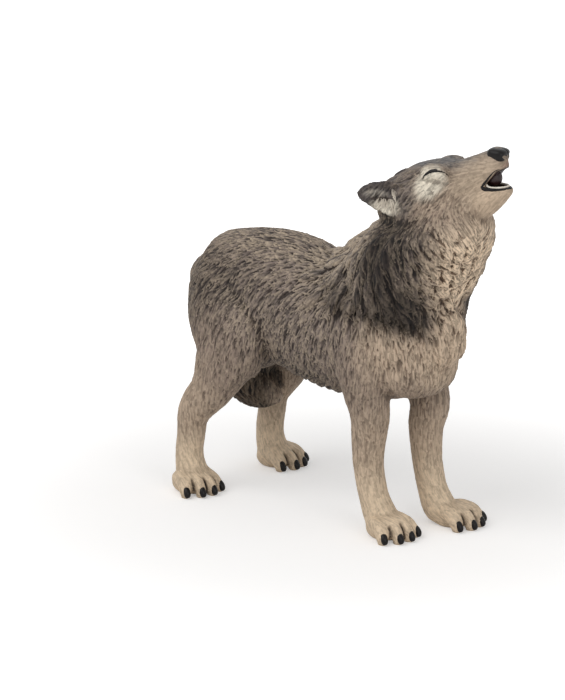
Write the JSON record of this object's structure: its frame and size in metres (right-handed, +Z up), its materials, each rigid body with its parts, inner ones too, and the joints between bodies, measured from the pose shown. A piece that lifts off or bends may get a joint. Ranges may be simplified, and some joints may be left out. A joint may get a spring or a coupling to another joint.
{
  "type": "wolf figurine",
  "caption": "Painted PVC figurine of a howling grey wolf, cast in one piece, standing on its own paws.",
  "frame": {"origin": "on the floor under the middle of the figurine's box", "axes": "+X from the rump to the chest, +Y towards the wolf's left side, +Z up"},
  "size_m": [0.1012, 0.0462, 0.0989],
  "materials": {
    "painted_coat": "hand-painted PVC, satin to matt: grey-brown carved coat with dark washed grooves, beige legs, throat and muzzle"
  },
  "bodies": {
    "root": {"wolf_figurine": "painted_coat"}
  },
  "joints": []
}
